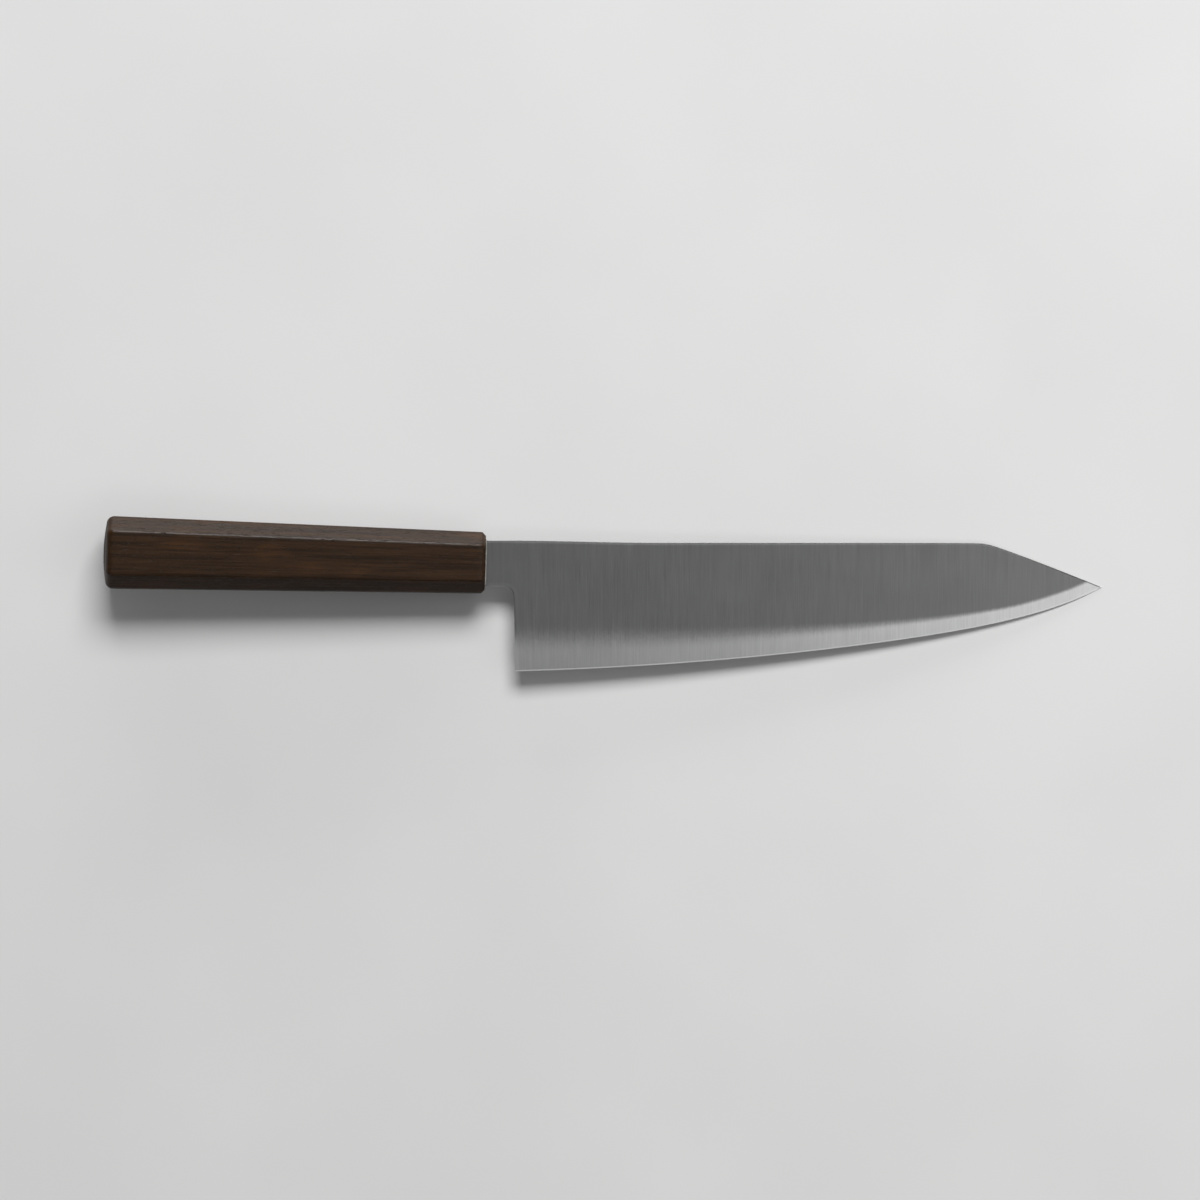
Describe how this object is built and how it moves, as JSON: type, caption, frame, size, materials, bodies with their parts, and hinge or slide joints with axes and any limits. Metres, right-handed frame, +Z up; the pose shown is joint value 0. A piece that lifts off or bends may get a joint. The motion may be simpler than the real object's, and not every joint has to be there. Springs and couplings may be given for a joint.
{
  "type": "kiritsuke knife",
  "caption": "Kitchen knife with a clipped tip: three-layer double-bevel blade with a hidden tang in a one-piece octagonal wooden handle, lying on its side.",
  "frame": {"origin": "on the surface that the knife lies on, under the centre of its bounding box", "axes": "+X from the handle to the tip, +Y towards the spine, +Z up from the surface; the knife lies on its left side, resting on the lower front edge of the handle and on the tip"},
  "size_m": [0.3566, 0.0554, 0.0252],
  "materials": {
    "core_steel": "fine cross-brushed, brighter than the cladding",
    "cladding_steel": "fine hairlines from spine to edge",
    "dark_wood": "oiled, dark brown with fine streaks and short pores along the handle",
    "bedding_resin": "cured adhesive, amber",
    "seal_resin": "smooth grey bead"
  },
  "bodies": {
    "root": {"core_layer": "core_steel", "right_cladding": "cladding_steel", "left_cladding": "cladding_steel", "handle": "dark_wood", "tang_bedding": "bedding_resin", "mouth_seal": "seal_resin"}
  },
  "joints": []
}
